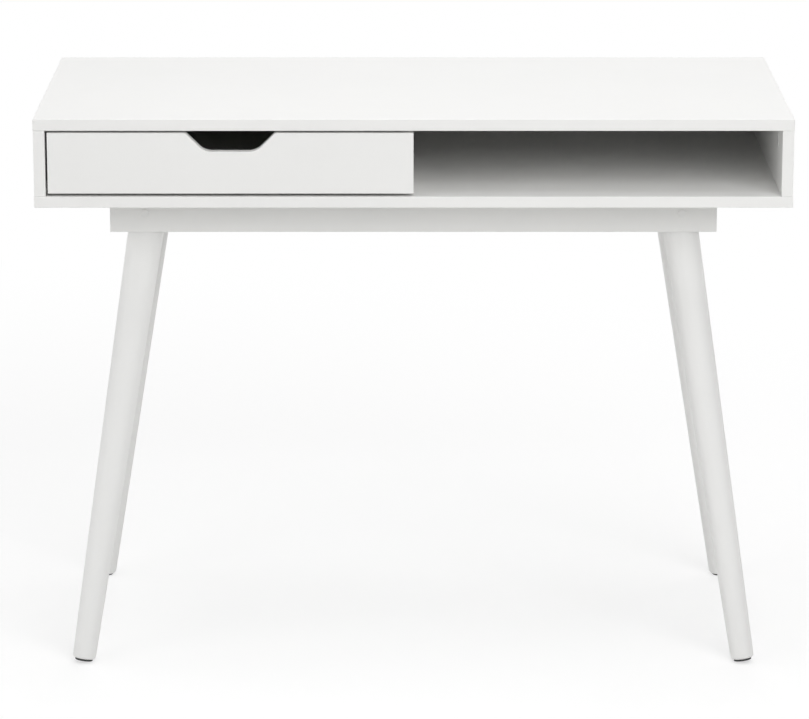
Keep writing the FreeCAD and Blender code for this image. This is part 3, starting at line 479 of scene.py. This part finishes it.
def pick_round_ends(piece, *directions):
    """Selects the flat ends of a round piece that face in the given directions."""
    pick(piece, "FACE", lambda face: len(face.verts) > FEW_CORNERS and any(
        face.normal.dot(direction) > ALIGNED for direction in directions))


def named(name):
    """Names the piece that was just added, and puts its place into its mesh."""
    piece = bpy.context.object
    piece.name = name
    piece.data.name = name
    bpy.ops.object.transform_apply(location=True, rotation=True, scale=True)
    return piece


def block(name, centre, sizes, turn=(0.0, 0.0, 0.0)):
    """Block at its place, from which a flat piece is shaped."""
    bpy.ops.object.select_all(action="DESELECT")
    bpy.ops.mesh.primitive_cube_add(size=1.0, location=centre, rotation=turn, scale=sizes)
    return named(name)


def cylinder(name, sides, radius, depth, centre, turn=(0.0, 0.0, 0.0)):
    """Cylinder at its place, from which a round piece is shaped."""
    bpy.ops.object.select_all(action="DESELECT")
    bpy.ops.mesh.primitive_cylinder_add(vertices=sides, radius=radius, depth=depth, location=centre,
                                        rotation=turn)
    return named(name)


def own_copy(piece, name, flip=(1.0, 1.0, 1.0), step=(0.0, 0.0, 0.0)):
    """Copy with a mesh of its own, mirrored about the desk's middle planes or moved."""
    copy = piece.copy()
    copy.data = piece.data.copy()
    bpy.context.scene.collection.objects.link(copy)
    select_only(copy)
    copy.scale = flip
    copy.location = step
    bpy.context.view_layer.update()
    named(name)
    edit(copy)
    bpy.ops.mesh.select_all(action="SELECT")
    bpy.ops.mesh.normals_make_consistent(inside=False)
    done()
    return copy


def dress(piece, slot, body, *nodes):
    """Smooth shading with crisp flats, the finish, and the place of the piece in the model."""
    select_only(piece)
    bpy.ops.object.shade_smooth_by_angle(angle=SMOOTH_BELOW)
    modifier = piece.modifiers.new("Flats", "WEIGHTED_NORMAL")
    modifier.keep_sharp = True
    bpy.ops.object.modifier_apply(modifier=modifier.name)
    piece.data.materials.append(finish(slot))
    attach(piece, body)
    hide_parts(*nodes)


def subtract(piece, cutter):
    """Cuts one shape out of a piece and removes the cutter."""
    select_only(piece)
    modifier = piece.modifiers.new("Cut", "BOOLEAN")
    modifier.operation = "DIFFERENCE"
    modifier.solver = "EXACT"
    modifier.object = cutter
    bpy.ops.object.modifier_apply(modifier=modifier.name)
    bpy.data.objects.remove(cutter)


def joined(pieces, name):
    """Several shapes as one piece."""
    select_only(pieces[0])
    for piece in pieces:
        piece.select_set(True)
    bpy.ops.object.join()
    return named(name)


def upright_turn(direction):
    """Rotation that takes the vertical to a direction."""
    return UP.rotation_difference(direction).to_euler()


def rounded_board(name, low, high, edge):
    """Board with finely rounded edges."""
    board = block(name, (low + high) / 2, high - low)
    edit(board)
    bpy.ops.mesh.select_all(action="SELECT")
    bpy.ops.mesh.bevel(offset=edge, segments=EDGE_STEPS, affect="EDGES")
    done()
    return board


def depth_rows(shape):
    """The two places along the depth where cams and connecting screws sit."""
    low, high = CAD_BOX
    return low[1] + shape.cam_from_edge, high[1] - shape.cam_from_edge


def sink_connectors(board, shape):
    """Sunk holes for the heads of the connecting screws under the carcass."""
    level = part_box("carcass_bottom")[0].z
    for node in ("left_side", "divider", "right_side"):
        low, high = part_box(node)
        for y in depth_rows(shape):
            centre = ((low.x + high.x) / 2, y, level)
            depth = 2 * shape.connector_sink    # half of the cutter lies outside the board
            subtract(board, cylinder("connector_hole", HOLE_SIDES, shape.connector_hole, depth, centre))


BOARDS = ("desktop", "carcass_bottom", "left_side", "right_side", "divider", "front_rail", "rear_rail")


class DESK_OT_boards(bpy.types.Operator):
    """Model the top, the bottom, the sides, the divider and the rails with rounded edges"""
    bl_idname = "desk.boards"
    bl_label = "Boards"

    def execute(self, context):
        shape = context.scene.desk_shape
        for node in BOARDS:
            low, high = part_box(node)
            board = rounded_board(node + "_board", low, high, shape.edge_round)
            if node == "carcass_bottom":
                sink_connectors(board, shape)
            dress(board, "white_board", "desk", node)
        return {"FINISHED"}


OUTLINE_START = 1.0 * MILLIMETRE    # small face that is merged to the first point of an outline


def draw_outline(name, points):
    """Flat face drawn point by point; the piece stays in edit mode."""
    bpy.ops.object.select_all(action="DESELECT")
    bpy.ops.mesh.primitive_plane_add(size=OUTLINE_START, location=points[0])
    piece = named(name)
    edit(piece)
    bpy.ops.mesh.select_mode(type="VERT")
    bpy.ops.mesh.select_all(action="SELECT")
    bpy.ops.mesh.merge(type="CENTER")
    for start, end in zip(points, points[1:]):
        bpy.ops.mesh.extrude_region_move(TRANSFORM_OT_translate={"value": end - start})
    bpy.ops.mesh.select_all(action="SELECT")
    bpy.ops.mesh.edge_face_add()
    return piece


def round_points(piece, places, radius, steps):
    """Rounds corners of a flat outline that turn by an eighth of a circle."""
    tangent = radius * math.tan(EIGHTH_TURN / 2)
    pick(piece, "VERT", lambda point: any((point.co - place).length < NEAR for place in places))
    bpy.ops.mesh.bevel(offset=tangent, segments=steps, profile=0.5, affect="VERTICES")


class DESK_OT_drawer_front(bpy.types.Operator):
    """Model the drawer front with its finger cut-out"""
    bl_idname = "desk.drawer_front"
    bl_label = "Drawer Front"

    def execute(self, context):
        shape = context.scene.desk_shape
        low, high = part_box("drawer_front")
        middle = (low.x + high.x) / 2
        floor_half = shape.cutout_floor / 2
        mouth_half = floor_half + shape.cutout_flare
        cut_level = high.z - shape.cutout_depth
        mouth = [Vector((middle + side * mouth_half, low.y, high.z)) for side in (1, -1)]
        floor = [Vector((middle + side * floor_half, low.y, cut_level)) for side in (1, -1)]
        points = [
            Vector((low.x, low.y, low.z)),
            Vector((high.x, low.y, low.z)),
            Vector((high.x, low.y, high.z)),
            mouth[0],
            floor[0],
            floor[1],
            mouth[1],
            Vector((low.x, low.y, high.z)),
        ]
        front = draw_outline("drawer_front_board", points)
        round_points(front, floor, shape.cutout_floor_round, CUTOUT_FLOOR_STEPS)
        round_points(front, mouth, shape.cutout_mouth_round, CUTOUT_MOUTH_STEPS)
        bpy.ops.mesh.select_all(action="SELECT")
        bpy.ops.mesh.extrude_region_move(TRANSFORM_OT_translate={"value": (0.0, high.y - low.y, 0.0)})
        bpy.ops.mesh.select_all(action="SELECT")
        bpy.ops.mesh.normals_make_consistent(inside=False)
        pick_cross_edges(front, FRONT)
        bpy.ops.mesh.bevel(offset=shape.edge_round, segments=EDGE_STEPS, affect="EDGES")
        done()
        dress(front, "white_board", "drawer", "drawer_front")
        return {"FINISHED"}


def leg_axis(shape):
    """Top point of the front left leg's axis and its direction up from the foot."""
    beam_low, beam_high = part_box("left_cross_beam")
    rail_low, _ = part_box("front_rail")
    top = Vector(((beam_low.x + beam_high.x) / 2, rail_low.y + shape.leg_from_rail_face, rail_low.z))
    up = Vector((shape.leg_splay_width, shape.leg_splay_depth, top.z)).normalized()
    return top, up


def glide_centre(shape):
    """Centre of the front left glide's lower face, whose lowest edge touches the floor."""
    top, up = leg_axis(shape)
    lift = shape.glide_radius * math.sqrt(1.0 - up.z ** 2)
    return top - up * ((top.z - lift) / up.z)


# Scale factors that take the front left piece to each of the other corners
MIRRORED = {
    "front_right": (-1.0, 1.0, 1.0),
    "rear_left": (1.0, -1.0, 1.0),
    "rear_right": (-1.0, -1.0, 1.0),
}


def at_corners(piece, ending, slot):
    """Copies the front left piece to the other corners and dresses all four."""
    copies = {corner: own_copy(piece, corner + ending + "_turned", flip)
              for corner, flip in MIRRORED.items()}
    copies["front_left"] = piece
    for corner, copy in copies.items():
        dress(copy, slot, "desk", corner + ending)


class DESK_OT_legs(bpy.types.Operator):
    """Model a tapered round leg with a soft foot and set it at the four corners"""
    bl_idname = "desk.legs"
    bl_label = "Legs"

    def execute(self, context):
        shape = context.scene.desk_shape
        top, up = leg_axis(shape)
        foot = glide_centre(shape) + up * shape.glide_thickness
        run = (top - foot).length
        # The cone goes on past the rail by a spare length, which the level cut takes off
        spare = shape.leg_top_radius
        wide = shape.leg_top_radius + (shape.leg_top_radius - shape.leg_foot_radius) * spare / run
        bpy.ops.object.select_all(action="DESELECT")
        bpy.ops.mesh.primitive_cone_add(vertices=LEG_SIDES, radius1=shape.leg_foot_radius, radius2=wide,
                                        depth=run + spare, location=foot + up * (run + spare) / 2,
                                        rotation=upright_turn(up))
        leg = named("front_left_leg_turned")
        edit(leg)
        bpy.ops.mesh.select_all(action="SELECT")
        bpy.ops.mesh.bisect(plane_co=top, plane_no=UP, use_fill=True, clear_outer=True)
        pick_end_edges(leg, foot, -up)
        bpy.ops.mesh.bevel(offset=shape.leg_foot_round, segments=FOOT_STEPS, affect="EDGES")
        pick_end_edges(leg, top, UP)
        bpy.ops.mesh.bevel(offset=shape.edge_round, segments=LEG_TOP_STEPS, affect="EDGES")
        done()
        at_corners(leg, "_leg", "white_leg")
        return {"FINISHED"}


# Shares of a glide's radius: the flat rim of its sole, and the slope down into the dish
GLIDE_RIM = 0.3
GLIDE_SLOPE = 0.1


class DESK_OT_glides(bpy.types.Operator):
    """Model a glide with a rounded, slightly dished sole and set it under the four legs"""
    bl_idname = "desk.glides"
    bl_label = "Glides"

    def execute(self, context):
        shape = context.scene.desk_shape
        _, up = leg_axis(shape)
        sole = glide_centre(shape)
        radius = shape.glide_radius
        glide = cylinder("front_left_glide_turned", DISC_SIDES, radius, shape.glide_thickness,
                         sole + up * shape.glide_thickness / 2, upright_turn(up))
        edit(glide)
        pick_round_ends(glide, -up)
        bpy.ops.mesh.inset(thickness=radius * GLIDE_RIM, depth=0.0)
        bpy.ops.mesh.inset(thickness=radius * GLIDE_SLOPE, depth=-shape.glide_round)
        pick(glide, "EDGE", lambda edge: all(
            (point.co - sole).dot(up) < NEAR and (point.co - sole).length > radius - NEAR
            for point in edge.verts))
        bpy.ops.mesh.bevel(offset=shape.glide_round, segments=EDGE_STEPS, affect="EDGES")
        done()
        at_corners(glide, "_glide", "black_glide")
        return {"FINISHED"}


# Shares of a cover's height: the rounding of its rim and the depth of its dish
COVER_ROUND = 0.55
COVER_DISH = 0.12
# Shares of a cover's radius: its flat rim, and the slope down into the dish
COVER_RIM = 0.3
COVER_SLOPE = 0.12


def round_cover(name, place, outward, radius, height):
    """Moulded round cover with a soft rim and a shallow dish in its face."""
    cover = cylinder(name, DISC_SIDES, radius, height, place + outward * height / 2, upright_turn(outward))
    edit(cover)
    pick_end_edges(cover, place, outward, height)
    bpy.ops.mesh.bevel(offset=height * COVER_ROUND, segments=RIM_STEPS, affect="EDGES")
    pick_round_ends(cover, outward)
    bpy.ops.mesh.inset(thickness=radius * COVER_RIM, depth=0.0)
    bpy.ops.mesh.inset(thickness=radius * COVER_SLOPE, depth=-height * COVER_DISH)
    done()
    return cover


class DESK_OT_covers(bpy.types.Operator):
    """Model the cover caps on the rails and the covers over the cams"""
    bl_idname = "desk.covers"
    bl_label = "Caps and Covers"

    def execute(self, context):
        shape = context.scene.desk_shape
        top, _ = leg_axis(shape)
        rail_low, rail_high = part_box("front_rail")
        place = Vector((top.x, rail_low.y, (rail_low.z + rail_high.z) / 2))
        cap = round_cover("cap", place, FRONT, shape.cap_radius, shape.cap_height)
        caps = [cap] + [own_copy(cap, "cap", flip) for flip in MIRRORED.values()]
        dress(joined(caps, "rail_caps_moulded"), "white_plastic", "desk", "rail_caps")

        left_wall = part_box("left_side")[1].x
        right_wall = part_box("right_side")[0].x
        divider_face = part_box("divider")[0].x
        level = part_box("desktop")[0].z - shape.cam_below_top
        place = Vector((left_wall, depth_rows(shape)[0], level))
        cover = round_cover("cover", place, RIGHT, shape.cover_radius, shape.cover_height)
        covers = [cover, own_copy(cover, "cover", MIRRORED["rear_left"])]
        for corner in ("front_right", "rear_right"):
            right = own_copy(cover, "cover", MIRRORED[corner])
            covers += [right, own_copy(right, "cover", step=(divider_face - right_wall, 0.0, 0.0))]
        dress(joined(covers, "cam_covers_moulded"), "white_plastic", "desk", "cam_covers")
        return {"FINISHED"}


SCREW_DOME = 0.6        # share of the head's height that is rounded
SCREW_TIP = 0.25        # share of the shank that tapers
SCREW_POINT = 0.15      # width of the tip's end, as a share of the shank's
RECESS_LENGTH = 1.05    # shares of the head's radius
RECESS_WIDTH = 0.24


def cross_screw(name, place, inward, shape):
    """Pan head screw with a cross recess and a pointed shank; its head lies on a surface at place."""
    outward = -inward
    height = shape.screw_head_height
    radius = shape.screw_head_radius
    turn = upright_turn(outward)
    screw = cylinder(name, SCREW_SIDES, radius, height, place + outward * height / 2, turn)
    edit(screw)
    pick_end_edges(screw, place, outward, height)
    bpy.ops.mesh.bevel(offset=height * SCREW_DOME, segments=RIM_STEPS, affect="EDGES")
    pick_round_ends(screw, inward)
    bpy.ops.mesh.inset(thickness=radius - shape.screw_radius, depth=0.0)
    for part in (1.0 - SCREW_TIP, SCREW_TIP):
        step = inward * shape.screw_length * part
        bpy.ops.mesh.extrude_region_move(TRANSFORM_OT_translate={"value": step})
    bpy.ops.transform.resize(value=(SCREW_POINT, SCREW_POINT, SCREW_POINT),
                             center_override=place + inward * shape.screw_length)
    done()
    arm = radius * RECESS_LENGTH
    groove = radius * RECESS_WIDTH
    for sizes in ((arm, groove, height), (groove, arm, height)):
        subtract(screw, block("recess", place + outward * height, sizes, turn))
    return screw


class DESK_OT_runner_screws(bpy.types.Operator):
    """Model the cross-head screws of the runners"""
    bl_idname = "desk.runner_screws"
    bl_label = "Runner Screws"

    def execute(self, context):
        shape = context.scene.desk_shape
        first_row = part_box("left_cabinet_runner")[0].y + shape.screw_from_end
        last_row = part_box("left_cabinet_runner")[1].y - shape.screw_from_end
        row_step = last_row - first_row

        low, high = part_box("cabinet_runner_screws")
        level = (low.z + high.z) / 2
        screws = []
        for x, inward in ((low.x + shape.screw_length, -RIGHT), (high.x - shape.screw_length, RIGHT)):
            first = cross_screw("screw", Vector((x, first_row, level)), inward, shape)
            screws += [first, own_copy(first, "screw", step=(0.0, row_step, 0.0))]
        dress(joined(screws, "cabinet_runner_screws_turned"), "zinc_steel", "desk",
              "cabinet_runner_screws")

        low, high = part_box("drawer_runner_screws")
        inset = shape.screw_head_radius
        place = Vector((low.x + inset, first_row, low.z + shape.screw_head_height))
        first = cross_screw("screw", place, UP, shape)
        screws = [first]
        across = high.x - low.x - 2 * inset
        for step in ((0.0, row_step, 0.0), (across, 0.0, 0.0), (across, row_step, 0.0)):
            screws.append(own_copy(first, "screw", step=step))
        dress(joined(screws, "drawer_runner_screws_turned"), "zinc_steel", "drawer",
              "drawer_runner_screws")
        return {"FINISHED"}


ROLLERS = ("left_front_roller", "right_front_roller", "left_rear_roller", "right_rear_roller")
ROLLER_ROUND = 0.08     # rounding of the rims, as a share of the radius
# Rings on a roller's ends, from the rim to the hub: width and rise as shares of the radius
ROLLER_RINGS = ((0.18, 0.0), (0.05, -0.07), (0.2, 0.0), (0.05, 0.07))


class DESK_OT_rollers(bpy.types.Operator):
    """Model the four moulded rollers with soft rims and recessed hubs"""
    bl_idname = "desk.rollers"
    bl_label = "Rollers"

    def execute(self, context):
        for node in ROLLERS:
            low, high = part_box(node)
            radius = (high.z - low.z) / 2
            roller = cylinder(node + "_moulded", DISC_SIDES, radius, high.x - low.x, (low + high) / 2,
                              SIDEWAYS)
            edit(roller)
            pick_cross_edges(roller, RIGHT)
            bpy.ops.mesh.bevel(offset=radius * ROLLER_ROUND, segments=EDGE_STEPS, affect="EDGES")
            pick_round_ends(roller, RIGHT, -RIGHT)
            for width, rise in ROLLER_RINGS:
                bpy.ops.mesh.inset(thickness=radius * width, depth=radius * rise)
            done()
            dress(roller, "nylon", node, node)
        return {"FINISHED"}


SENSOR_WIDTH = 36.0     # millimetres
VIEW_LIMIT = 200.0      # metres that the camera sees


def desk_camera(stage):
    """Camera in front of the desk and above it, tilted down to its middle."""
    low, high = CAD_BOX
    lens = bpy.data.cameras.new("desk_camera")
    lens.sensor_width = SENSOR_WIDTH
    lens.lens = stage.focal_length
    lens.clip_end = VIEW_LIMIT
    camera = bpy.data.objects.new("desk_camera", lens)
    camera.location = (stage.eye_right, low[1] - stage.eye_distance, high[2] + stage.eye_height)
    camera.rotation_euler = (QUARTER_TURN - stage.tilt, 0.0, 0.0)
    bpy.context.scene.collection.objects.link(camera)
    bpy.context.scene.camera = camera


# Each soft lamp's name, the setting of its power, its width and its place in metres
LAMPS = (
    ("key_lamp", "key_power", 2.6, (1.4, -3.5, 2.75)),
    ("front_lamp", "front_power", 2.0, (0.6, -4.4, 1.9)),
    ("corner_lamp", "corner_power", 2.0, (-2.8, -2.2, 1.9)),
    ("left_lamp", "left_power", 2.0, (-3.4, 0.3, 1.0)),
    ("right_lamp", "right_power", 2.0, (2.5, 2.6, 1.4)),
    ("top_lamp", "top_power", 3.2, (0.0, -0.2, 3.6)),
    ("back_lamp", "back_power", 2.4, (0.4, 3.8, 1.9)),
)
AIM_HEIGHT = 0.6        # height that the lamps look at, as a share of the desk's


def soft_lamp(name, watts, width, place, target):
    """Square soft box that looks at a point.

    It has no mirror image: the white surroundings alone give the gloss.
    """
    data = bpy.data.lights.new(name, "AREA")
    data.shape = "SQUARE"
    data.size = width
    data.energy = watts
    lamp = bpy.data.objects.new(name, data)
    lamp.location = place
    lamp.visible_glossy = False
    lamp.rotation_mode = "QUATERNION"
    lamp.rotation_quaternion = (Vector(target) - Vector(place)).to_track_quat("-Z", "Y")
    bpy.context.scene.collection.objects.link(lamp)


def seen_directly(tree):
    """1 for rays from the camera and for those by mirror or glass, 0 for the light on the desk."""
    path = tree.nodes.new("ShaderNodeLightPath")
    total = path.outputs["Is Camera Ray"]
    for ray in ("Is Glossy Ray", "Is Transmission Ray"):
        join = tree.nodes.new("ShaderNodeMath")
        join.operation = "ADD"
        join.use_clamp = True
        tree.links.new(total, join.inputs[0])
        tree.links.new(path.outputs[ray], join.inputs[1])
        total = join.outputs["Value"]
    return total


def mixed_shader(tree, factor, first, second):
    """Shader between two shaders."""
    node = tree.nodes.new("ShaderNodeMixShader")
    for socket, source in zip(node.inputs, (factor, first, second)):
        tree.links.new(source, socket)
    return node.outputs["Shader"]


def matt(tree, tint):
    """Matt surface of one colour."""
    node = tree.nodes.new("ShaderNodeBsdfDiffuse")
    node.inputs["Color"].default_value = tint
    return node.outputs["BSDF"]


def glowing(tree, strength):
    """White surface that shines by itself."""
    node = tree.nodes.new("ShaderNodeEmission")
    node.inputs["Color"].default_value = WHITE
    node.inputs["Strength"].default_value = strength
    return node.outputs["Emission"]


def white_sky(node, strength):
    """Even white light from a background node."""
    node.inputs["Color"].default_value = WHITE
    node.inputs["Strength"].default_value = strength
    return node.outputs["Background"]


def white_world(stage):
    """Even sky light, white where it is seen."""
    world = bpy.data.worlds.new("studio")
    bpy.context.scene.world = world
    world.use_nodes = True
    tree = world.node_tree
    light = white_sky(tree.nodes["Background"], stage.sky)
    seen = white_sky(tree.nodes.new("ShaderNodeBackground"), PLAIN_WHITE)
    surface = mixed_shader(tree, seen_directly(tree), light, seen)
    tree.links.new(surface, tree.nodes["World Output"].inputs["Surface"])


def floor_fade(tree, stage):
    """0 near the desk and 1 far from it."""
    place = tree.nodes.new("ShaderNodeTexCoord")
    distance = tree.nodes.new("ShaderNodeVectorMath")
    distance.operation = "LENGTH"
    tree.links.new(place.outputs["Object"], distance.inputs[0])
    fade = tree.nodes.new("ShaderNodeMapRange")
    fade.interpolation_type = "SMOOTHSTEP"
    fade.inputs["From Min"].default_value = stage.shadow_near
    fade.inputs["From Max"].default_value = stage.shadow_far
    tree.links.new(distance.outputs["Value"], fade.inputs["Value"])
    return fade.outputs["Result"]


def floor_material(stage):
    """Pale floor that lights the desk from below and is seen white, with a faint shadow near it."""
    material = bpy.data.materials.new("studio_floor")
    material.use_nodes = True
    tree = material.node_tree
    tree.nodes.remove(tree.nodes["Principled BSDF"])
    shadowed = tree.nodes.new("ShaderNodeAddShader")
    tree.links.new(matt(tree, shaded(WHITE, stage.shadow_share)), shadowed.inputs[0])
    tree.links.new(glowing(tree, stage.floor_glow), shadowed.inputs[1])
    plain = glowing(tree, PLAIN_WHITE)
    seen = mixed_shader(tree, floor_fade(tree, stage), shadowed.outputs["Shader"], plain)
    surface = mixed_shader(tree, seen_directly(tree), matt(tree, opaque(stage.floor_pale)), seen)
    tree.links.new(surface, tree.nodes["Material Output"].inputs["Surface"])
    return material


class DESK_OT_stage(bpy.types.Operator):
    """Set up the camera, the lamps, the sky and the floor"""
    bl_idname = "desk.stage"
    bl_label = "Stage"

    def execute(self, context):
        stage = context.scene.desk_stage
        context.scene.view_settings.view_transform = "Standard"
        low, high = CAD_BOX
        aim = (0.0, 0.0, high[2] * AIM_HEIGHT)
        white_world(stage)
        for name, setting, width, place in LAMPS:
            soft_lamp(name, getattr(stage, setting), width, place, aim)
        bpy.ops.object.select_all(action="DESELECT")
        bpy.ops.mesh.primitive_plane_add(size=stage.floor_size, location=(0.0, 0.0, low[2]))
        floor = context.object
        floor.name = "floor"
        floor.data.materials.append(floor_material(stage))
        desk_camera(stage)
        return {"FINISHED"}


class DESK_PT_tools(bpy.types.Panel):
    """Lists the steps that dress the desk"""
    bl_label = "Writing Desk"
    bl_idname = "DESK_PT_tools"
    bl_space_type = "VIEW_3D"
    bl_region_type = "UI"
    bl_category = "Desk"

    def draw(self, context):
        for step in OPERATORS:
            self.layout.operator(step.bl_idname)


OPERATORS = (DESK_OT_finish_pieces, DESK_OT_boards, DESK_OT_drawer_front, DESK_OT_legs,
             DESK_OT_glides, DESK_OT_covers, DESK_OT_runner_screws, DESK_OT_rollers, DESK_OT_stage)
CLASSES = (DeskFinishSettings, DeskShapeSettings, DeskStageSettings, *OPERATORS, DESK_PT_tools)


def register():
    """Adds the classes and their settings."""
    for entry in CLASSES:
        bpy.utils.register_class(entry)
    bpy.types.Scene.desk_finish = PointerProperty(type=DeskFinishSettings)
    bpy.types.Scene.desk_shape = PointerProperty(type=DeskShapeSettings)
    bpy.types.Scene.desk_stage = PointerProperty(type=DeskStageSettings)


def unregister():
    """Removes the settings and the classes."""
    del bpy.types.Scene.desk_stage
    del bpy.types.Scene.desk_shape
    del bpy.types.Scene.desk_finish
    for entry in reversed(CLASSES):
        bpy.utils.unregister_class(entry)


def main():
    """Dresses the desk step by step."""
    register()
    bpy.ops.desk.finish_pieces()
    bpy.ops.desk.boards()
    bpy.ops.desk.drawer_front()
    bpy.ops.desk.legs()
    bpy.ops.desk.glides()
    bpy.ops.desk.covers()
    bpy.ops.desk.runner_screws()
    bpy.ops.desk.rollers()
    bpy.ops.desk.stage()


if __name__ == "__main__":
    main()
